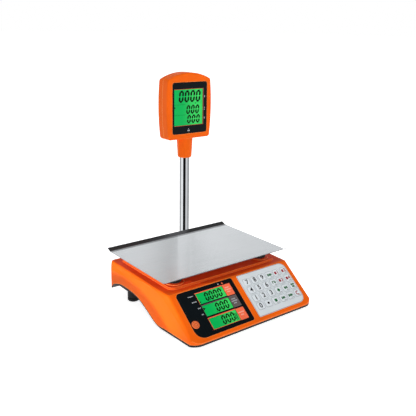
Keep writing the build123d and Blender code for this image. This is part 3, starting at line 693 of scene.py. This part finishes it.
display_labels()
display_frames()
display_marks()
display_digits()
power_symbol()


# ---------------------------------------------------------------- keypad print
FIGURES = [["7", "8", "9"], ["4", "5", "6"], ["1", "2", "3"], ["0"]]
FIGURE_SIZE, MEMORY_SIZE = 11.0, 8.4
FONT_SIZE = 1.38                 # font size over the height of its figures


def figure_on(face, name, text, x, s, height, material, body, low):
    """A printed figure, made from the built-in font's outline and turned into a mesh."""
    curve = bpy.data.curves.new(name, "FONT")
    curve.body = text
    curve.size = height * MM * FONT_SIZE
    curve.align_x, curve.align_y = "CENTER", "CENTER"
    curve.extrude = 0.03 * MM
    curve.offset = 0.34 * MM
    shape = bpy.data.objects.new(name + "_font", curve)
    bpy.context.scene.collection.objects.link(shape)
    bpy.context.view_layer.update()
    mesh = bpy.data.meshes.new_from_object(shape.evaluated_get(bpy.context.evaluated_depsgraph_get()))
    bpy.data.objects.remove(shape)
    bpy.data.curves.remove(curve)
    turn = Matrix((face.across, -face.down, face.out)).transposed().to_4x4()
    mesh.transform(Matrix.Translation(face.at(x, s, low + 0.02)) @ turn)
    mesh.name = name
    mesh.materials.clear()
    mesh.materials.append(material)
    obj = bpy.data.objects.new(name, mesh)
    bpy.context.scene.collection.objects.link(obj)
    rides(obj, body)


def word_bars(x, s, widths, height=6.2):
    """A row of small upright blocks that stands for a printed word."""
    gap = 0.4
    total = sum(widths) + gap * (len(widths) - 1)
    start, shapes = x - total / 2, []
    for k, width in enumerate(widths):
        tall = height if k % 2 == 0 else height * 0.78
        shapes.append(rounded(start, start + width, s - tall / 2, s + tall / 2, 0.3, 3))
        start += width + gap
    return shapes


def two_words(x, s):
    return word_bars(x, s - 2.7, [3.0, 3.2, 3.0], 4.6) + word_bars(x, s + 2.7, [3.4, 3.2], 4.6)


def return_arrow(x, s):
    """A line that goes right, turns down and ends in a head."""
    return [
        rounded(x - 5.0, x + 3.4, s - 3.8, s - 2.0, 0.3, 3),
        rounded(x - 5.0, x - 3.2, s - 3.8, s + 3.2, 0.3, 3),
        [(x - 0.4, s - 0.8), (x + 6.2, s - 0.8), (x + 2.9, s + 4.0)],
        rounded(x + 2.0, x + 3.8, s - 3.8, s - 0.2, 0.3, 3),
    ]


def diamond(x, s):
    return [[(x, s - 4.9), (x + 4.5, s), (x, s + 4.9), (x - 4.5, s)]]


def cross_box(x, s):
    return [rounded(x - 3.4, x + 3.4, s - 3.6, s + 3.6, 0.8, 3)]


def open_ring(x, s):
    return [ring(x, s, 5.2, 2.9, 48, 312, 21)]


def memory_block(x, s):
    return [rounded(x - 6.6, x - 0.8, s - 3.4, s + 3.4, 0.8, 3)]


def save_word(x, s):
    return word_bars(x, s, [2.9, 2.8, 2.6, 2.8])


def short_word(x, s):
    return word_bars(x, s, [3.0, 2.8, 3.0])


def bottom_edge_shade(x, s):
    """Short dark grey line under a function sign, towards the key's right edge: painted shade along the key's
    lower edge.
    """
    return [rounded(x - 0.6, x + 6.4, s + 5.6, s + 6.4, 0.3, 3)]


KEY_SIGNS = {          # (row, column): shapes, ink, figure beside them
    (1, 4): (save_word, INK_GREEN, None),
    (1, 5): (memory_block, INK_RED, "1"),
    (1, 6): (memory_block, INK_RED, "2"),
    (2, 4): (return_arrow, INK_GREEN, None),
    (2, 5): (memory_block, INK_RED, "3"),
    (2, 6): (memory_block, INK_RED, "4"),
    (3, 4): (diamond, INK_GREEN, None),
    (3, 5): (short_word, INK_GREEN, None),
    (3, 6): (two_words, INK_GREEN, None),
    (4, 3): (cross_box, INK_GREEN, None),
    (4, 4): (short_word, INK_GREEN, None),
    (4, 5): (save_word, INK_GREEN, None),
    (4, 6): (open_ring, INK_RED, None),
}


def key_print():
    """Figures on the number keys; signs, memory numbers and short lines of painted shade on the function keys."""
    for row in range(1, 5):
        for column in range(1, 7):
            key = f"key_r{row}_c{column}"
            x0, x1, s0, s1 = edges_on_panel(key)
            x, s = (x0 + x1) / 2, (s0 + s1) / 2
            top = extent(key, panel_out)[1] - panel.origin.dot(panel_out) / MM
            base, lifted = top - 0.02, top + 0.05
            if column <= len(FIGURES[row - 1]):
                figure = FIGURES[row - 1][column - 1]
                name = f"figure_{figure}"
                figure_on(panel, name, figure, x, s, FIGURE_SIZE, INK_DARK, key, top)
            elif (row, column) == (4, 2):
                dot = [rounded(x - 2.7, x + 2.7, s - 2.7, s + 2.7, 2.0, 5)]
                print_on(panel, "figure_point", dot, INK_DARK, key, base, lifted)
            else:
                shapes, material, figure = KEY_SIGNS[(row, column)]
                name = f"sign_r{row}_c{column}"
                print_on(panel, name, shapes(x, s), material, key, base, lifted)
                if figure:
                    name = f"memory_{figure}"
                    figure_on(panel, name, figure, x + 3.4, s, MEMORY_SIZE, material, key, top)
                name = f"bottom_shade_r{row}_c{column}"
                print_on(panel, name, bottom_edge_shade(x, s), INK_DARK, key, base, lifted)


KEY_CORNER, GAP_SHADE_WIDTH = 2.8, 0.7      # corner of a key, and the width of the painted shade line round it


def key_gap_shade():
    """Painted shade: grey line embossed in the overlay round each key, where the gap round the key lies in shade.
    """
    bm = bmesh.new()
    for row in range(1, 5):
        for column in range(1, 7):
            x0, x1, s0, s1 = edges_on_panel(f"key_r{row}_c{column}")
            inner = rounded(x0, x1, s0, s1, KEY_CORNER)
            outer = rounded(x0 - GAP_SHADE_WIDTH, x1 + GAP_SHADE_WIDTH, s0 - GAP_SHADE_WIDTH, s1 + GAP_SHADE_WIDTH, KEY_CORNER + GAP_SHADE_WIDTH)
            base, lifted = PLATE_PROUD - 0.05, PLATE_PROUD + 0.06
            band(bm, panel, [(inner, base), (inner, lifted), (outer, lifted), (outer, base)])
    rides(object_from(bm, "key_gap_shade", INK_GAP_SHADE), "base")


def keypad_outline():
    """Raised rim round the keypad overlay, in grey ink: painted shade of the gap at the overlay's edge."""
    x0, x1, s0, s1 = edges_on_panel("keypad_plate")
    radii = (2.5, 16.0, 18.0, 2.5)          # upper left, upper right, lower right, lower left

    def outline(inset):
        a, b, c, d = (max(0.4, r - inset) for r in radii)
        left, right, top, bottom = x0 + inset, x1 - inset, s0 + inset, s1 - inset
        return (
            arc(right - b, top + b, b, 0, 90, 13) + arc(left + a, top + a, a, 90, 180, 7)
            + arc(left + d, bottom - d, d, 180, 270, 7) + arc(right - c, bottom - c, c, 270, 360, 13)
        )

    bm = bmesh.new()
    base, lifted = PLATE_PROUD - 0.05, PLATE_PROUD + 0.22
    loops = [(0.25, base), (0.35, lifted), (0.9, lifted), (1.2, base)]
    band(bm, panel, [(outline(inset), height) for inset, height in loops])
    rides(object_from(bm, "keypad_rim", INK_GAP_SHADE), "base")


key_print()
key_gap_shade()
keypad_outline()


# ---------------------------------------------------------------- customer's display
HEAD_CENTRE = (head_lcd_low.x + head_lcd_high.x) / 2 / MM
HEAD_HALF = 41.3                 # half the width of the crystal that shows


def head_digits():
    """Zeros of the three rows, right-aligned, with a point, a small flag and thin lines between the rows."""
    left = HEAD_CENTRE - HEAD_HALF
    rows = [   # right end, top, bottom, digit width, gap, stroke, count
        (92.0, 462.2, 434.2, 13.8, 2.5, 4.9, 4),
        (88.0, 427.9, 406.3, 11.0, 2.2, 4.1, 3),
        (90.4, 404.6, 384.0, 11.0, 2.2, 4.1, 3),
    ]
    for index, (right, top, bottom, width, gap, stroke, count) in enumerate(rows, 1):
        height = top - bottom
        strokes = []
        for k in range(count):
            x = right - DIGIT_SLANT * height - width - k * (width + gap)
            strokes += crystal_zero(x, head_at(top), width, height, stroke, DIGIT_SLANT)
        if index == 1:
            strokes.append(rounded(75.0, 77.4, head_at(432.6), head_at(430.2), 0.6, 4))
        if index == 2:
            flag = [(0.6, 425.4), (4.6, 422.9), (0.6, 420.4)]
            strokes.append([(left + x, head_at(z)) for x, z in flag])
        name = f"head_row_{index}_digits"
        print_on(head_face, name, strokes, INK_CRYSTAL, "head", CRYSTAL_LOW, CRYSTAL_HIGH)
    thin = ink("ink_faint", srgb(10, 96, 52), 0.2)
    places = [head_at(z) for z in (429.6, 405.4)]
    lines = [rounded(left + 0.8, left + 32, s - 0.35, s + 0.35, 0.3, 3) for s in places]
    print_on(head_face, "head_row_lines", lines, thin, "head", CRYSTAL_LOW, CRYSTAL_HIGH)


def head_print():
    """Outline of the crystal and small grey marks on the window."""
    x0, x1 = HEAD_CENTRE - HEAD_HALF, HEAD_CENTRE + HEAD_HALF
    top, bottom = head_at(464.6), head_at(380.6)
    outline = [
        rounded(x0 - 0.4, x1 + 3.2, top - 1.1, top - 0.3, 0.2, 3),
        rounded(x1 + 0.4, x1 + 1.0, top - 1.1, bottom + 1.1, 0.2, 3),
        rounded(x0 - 0.4, x1 + 3.2, bottom + 0.3, bottom + 1.1, 0.2, 3),
    ]
    thin_red = ink("ink_thin_red", srgb(196, 88, 66))
    print_on(head_face, "head_outline", outline, thin_red, "head", PRINT_LOW, PRINT_HIGH)
    strip = [rounded(x1 + 1.1, x1 + 3.4, top - 0.2, bottom + 0.2, 0.2, 3)]
    brown = ink("ink_brown", srgb(112, 58, 62))
    print_on(head_face, "head_strip", strip, brown, "head", PRINT_LOW, PRINT_HIGH)
    marks = []
    for z, tall in ((446.0, 5.0), (419.4, 2.8), (414.6, 2.8), (394.6, 4.2)):
        marks.append(rounded(x1 + 4.6, x1 + 6.8, head_at(z) - tall / 2, head_at(z) + tall / 2, 0.7, 3))
    foot = head_at(367.4)
    marks.append(rounded(HEAD_CENTRE - 2.8, HEAD_CENTRE + 4.0, foot - 1.4, foot + 1.4, 1.0, 4))
    print_on(head_face, "head_marks", marks, INK_GREY, "head", PRINT_LOW, PRINT_HIGH)
    small = [rounded(HEAD_CENTRE - 0.4, HEAD_CENTRE + 1.4, head_at(372.6), head_at(370.8), 0.6, 3)]
    print_on(head_face, "head_small_mark", small, INK_GREY, "head", PRINT_LOW, PRINT_HIGH)


def recess_shade_crosses():
    """Dark cross in each screw head on the back of the column display: painted shade of its cross recess."""
    corners = [v.co for v in nodes["head_screws"].data.vertices]
    middle = sum(corners, Vector()) / len(corners)
    back = max(v.y for v in corners)
    shapes = []
    for right in (False, True):
        for upper in (False, True):
            own = [v for v in corners if (v.x > middle.x) == right and (v.z > middle.z) == upper]
            x = (min(v.x for v in own) + max(v.x for v in own)) / 2 / MM
            s = head_at((min(v.z for v in own) + max(v.z for v in own)) / 2 / MM)
            shapes += [rounded(x - 1.8, x + 1.8, s - 0.45, s + 0.45, 0.2, 3)]
            shapes += [rounded(x - 0.45, x + 0.45, s - 1.8, s + 1.8, 0.2, 3)]
    rear = Face(Vector((0, back, 0)), Vector((1, 0, 0)), Vector((0, 0, -1)), Vector((0, 1, 0)))
    print_on(rear, "head_screw_shade", shapes, INK_DARK, "head", -0.05, 0.02)


head_digits()
head_print()
recess_shade_crosses()


# ---------------------------------------------------------------- stage: floor, lights, reflection screens
WORLD_STRENGTH = 0.30
SIDE_POWER = 155.0
WALL_LEVELS = [          # bearing from the camera's place and brightness from there on, of the wall the pan
                         # mirrors; the last entry only ends it
    (26, 0.98), (31.5, 0.92), (33.0, 0.76), (34.2, 0.60), (35.6, 0.74), (36.5, 1.16), (37.0, 0.78),
    (37.8, 1.06), (38.6, 0.95), (41.0, 0.90), (44.0, 0.84), (52.0, 0.0),
]
WALL_RING = (57.4, 381.4, 3.28, 0.84)      # rest of the wall: bearings from the origin, radius, brightness
RING_PIECES = 18
WALL_LOW, WALL_HIGH, WALL_DISTANCE = 0.3, 1.9, 4.5
POLE_SCREENS = [         # turn of the mirrored direction away from the camera's, to the right; brightness
    (-180, -158, 0.9), (-158, -135, 0.01), (-135, -84, 0.50), (-84, -33, 1.06), (-33, 22, 0.004),
    (22, 34, 0.25), (34, 60, 0.85), (60, 86, 0.55), (86, 135, 0.38), (135, 150, 0.9),
    (150, 165, 0.02), (165, 180, 0.5),
]
POLE_RADIUS, SCREEN_RADIUS = 12.0, 17.0      # millimetres
SCREEN_LOW, SCREEN_HIGH = 0.092, 0.2975      # heights over the table, in metres
SCREEN_STEP = 10                 # degrees that one flat card takes of the turn round the pole
SCREEN_OUTSIDE = 0.86            # brightness of the screens' outer side, which the pan mirrors


def world_light():
    """White to look at, a dim even grey as light, so the lamps below give the shading."""
    world = bpy.data.worlds.new("studio")
    bpy.context.scene.world = world
    world.use_nodes = True
    tree = world.node_tree
    tree.nodes.clear()
    out = tree.nodes.new("ShaderNodeOutputWorld")
    mixed = tree.nodes.new("ShaderNodeMixShader")
    seen = tree.nodes.new("ShaderNodeBackground")
    seen.inputs["Color"].default_value = (1, 1, 1, 1)
    lit = tree.nodes.new("ShaderNodeBackground")
    lit.inputs["Color"].default_value = (1, 1, 1, 1)
    lit.inputs["Strength"].default_value = WORLD_STRENGTH
    path = tree.nodes.new("ShaderNodeLightPath")
    tree.links.new(path.outputs["Is Camera Ray"], mixed.inputs[0])
    tree.links.new(lit.outputs[0], mixed.inputs[1])
    tree.links.new(seen.outputs[0], mixed.inputs[2])
    tree.links.new(mixed.outputs[0], out.inputs[0])


def area_light(name, place, target, size, power, spread=180):
    """Rectangular lamp that shows in no reflection."""
    light = bpy.data.lights.new(name, "AREA")
    light.shape = "RECTANGLE"
    light.size, light.size_y = size
    light.energy = power
    light.spread = math.radians(spread)
    obj = bpy.data.objects.new(name, light)
    bpy.context.scene.collection.objects.link(obj)
    obj.location = place
    obj.rotation_euler = (Vector(target) - Vector(place)).to_track_quat("-Z", "Y").to_euler()
    obj.visible_glossy = False


def side_spot():
    """Lamp on the upper left flank, flagged off below the moulded line so the band above it glows."""
    place, aim = Vector((-2.2, -0.06, 0.6)), Vector((-0.17, 0.05, 0.05))
    light = bpy.data.lights.new("side_spot", "SPOT")
    light.energy = SIDE_POWER
    light.spot_size, light.spot_blend = math.radians(13), 0.6
    light.shadow_soft_size = 0.012
    obj = bpy.data.objects.new("side_spot", light)
    bpy.context.scene.collection.objects.link(obj)
    obj.location = place
    obj.rotation_euler = (aim - place).to_track_quat("-Z", "Y").to_euler()
    obj.visible_glossy = False
    # The flag throws an ellipse of shadow on the flank: its centre and half sizes there.
    centre, half_y, half_z = Vector((-0.171, 0.060, -0.110)), 0.230, 0.180
    flag_x = -0.9
    scale = (flag_x - place.x) / (centre.x - place.x)
    middle = place + (centre - place) * scale
    bm = bmesh.new()
    bm.faces.new([
        bm.verts.new((
            flag_x, middle.y + scale * half_y * math.cos(math.radians(a)),
            middle.z + scale * half_z * math.sin(math.radians(a)),
        ))
        for a in range(0, 360, 5)
    ])
    flag = object_from(bm, "side_flag", SLOT_MATERIALS["black_paint"])
    flag.visible_camera = flag.visible_diffuse = flag.visible_glossy = False


def floor():
    """Pale ground that glows enough to come out white, a little more so far away."""
    bm = bmesh.new()
    bmesh.ops.create_grid(bm, x_segments=24, y_segments=24, size=40.0)
    shader = Shader("pale_floor", Roughness=0.8, Specular_IOR_Level=0.1)
    cloud = shader.noise(3, 3, 0.6)
    shade = shader.mix(cloud, (0.86, 0.86, 0.86, 1.0), (0.88, 0.88, 0.88, 1.0))
    shader.feed("Base Color", shade)
    shader.feed("Emission Color", shade)
    away = shader.node("ShaderNodeVectorMath", {0: shader.place}, operation="LENGTH").outputs["Value"]
    shader.feed("Emission Strength", shader.ramp(away, 0.4, 3.0, 1.0, 1.25))
    shader.bump(shader.noise(300, 2), 0.02 * MM, 0.3)
    object_from(bm, "floor", shader.material)


def screen(name, corners, level, back_level=None):
    """Plain glowing card that only reflections see; its far side may glow at another level.

    The order of the corners decides which side is the near one.
    """
    bm = bmesh.new()
    bm.faces.new([bm.verts.new(corner) for corner in corners])
    mesh = bpy.data.meshes.new(name)
    bm.to_mesh(mesh)
    bm.free()
    material = bpy.data.materials.new(name)
    material.use_nodes = True
    tree = material.node_tree
    tree.nodes.clear()
    out = tree.nodes.new("ShaderNodeOutputMaterial")
    glow = tree.nodes.new("ShaderNodeEmission")
    glow.inputs["Color"].default_value = (0.97, 0.985, 1.0, 1.0)
    glow.inputs["Strength"].default_value = level
    if back_level is not None:
        side = tree.nodes.new("ShaderNodeNewGeometry")
        levels = tree.nodes.new("ShaderNodeMapRange")
        tree.links.new(side.outputs["Backfacing"], levels.inputs[0])
        levels.inputs[3].default_value, levels.inputs[4].default_value = level, back_level
        tree.links.new(levels.outputs[0], glow.inputs["Strength"])
    tree.links.new(glow.outputs[0], out.inputs["Surface"])
    mesh.materials.append(material)
    obj = bpy.data.objects.new(name, mesh)
    bpy.context.scene.collection.objects.link(obj)
    obj.visible_camera = obj.visible_diffuse = obj.visible_shadow = False
    obj.visible_transmission = obj.visible_volume_scatter = False


def upright(name, centre, start, end, radius, low, high, level, back_level=None):
    """Upright card between two compass bearings (degrees from +Y towards +X) seen from a centre."""
    (ax, ay), (bx, by) = [
        (centre[0] + radius * math.sin(math.radians(b)), centre[1] + radius * math.cos(math.radians(b)))
        for b in (start, end)
    ]
    screen(name, [(ax, ay, low), (bx, by, low), (bx, by, high), (ax, ay, high)], level, back_level)


def bearing_on_screen(turn):
    """Where on the screen round the pole a mirrored ray lands that leaves at this turn, in degrees."""
    half = math.radians(turn / 2)
    reach = -POLE_RADIUS * math.cos(half)
    reach += math.sqrt((POLE_RADIUS * math.cos(half)) ** 2 - POLE_RADIUS ** 2 + SCREEN_RADIUS ** 2)
    x = POLE_RADIUS * math.cos(half) + reach * math.cos(2 * half)
    y = POLE_RADIUS * math.sin(half) + reach * math.sin(2 * half)
    return math.degrees(math.atan2(y, x))


def screens():
    """The wall behind the object, the rest of the wall round it, and the cards close round the pole."""
    for index, ((start, level), (end, _)) in enumerate(zip(WALL_LEVELS, WALL_LEVELS[1:])):
        upright(f"wall_{index}", CAMERA_PLACE[:2], start, end, WALL_DISTANCE, WALL_LOW, WALL_HIGH, level)
    first, last, radius, level = WALL_RING
    for k in range(RING_PIECES):
        a, b = (first + (last - first) * (k + m) / RING_PIECES for m in (0, 1))
        upright(f"ring_{k}", (0, 0), a, b, radius, WALL_LOW, WALL_HIGH, level)
    low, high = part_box("pole")
    pole = ((low.x + high.x) / 2, (low.y + high.y) / 2)
    towards = math.degrees(math.atan2(CAMERA_PLACE[0] - pole[0], CAMERA_PLACE[1] - pole[1]))
    for index, (start, end, level) in enumerate(POLE_SCREENS):
        a, b = bearing_on_screen(start), bearing_on_screen(end)
        steps = max(1, round((b - a) / SCREEN_STEP))
        for k in range(steps):
            near, far = (towards - a - (b - a) * (k + m) / steps for m in (0, 1))
            name = f"pole_screen_{index}_{k}"
            upright(name, pole, near, far, SCREEN_RADIUS * MM, SCREEN_LOW, SCREEN_HIGH, SCREEN_OUTSIDE, level)


world_light()
floor()
screens()
area_light("top", (-0.1, -0.2, 2.2), (0, 0, 0.1), (1.6, 1.6), 19)
area_light("front", (-0.3, -2.2, 1.2), (0, 0, 0.2), (1.4, 0.9), 13.5)
area_light("left_fill", (-1.8, -0.5, 0.35), (-0.17, -0.05, 0.03), (0.5, 0.3), 0.08, 20)
side_spot()

scene = bpy.context.scene
scene.view_settings.view_transform = "Standard"
scene.view_settings.look = "None"
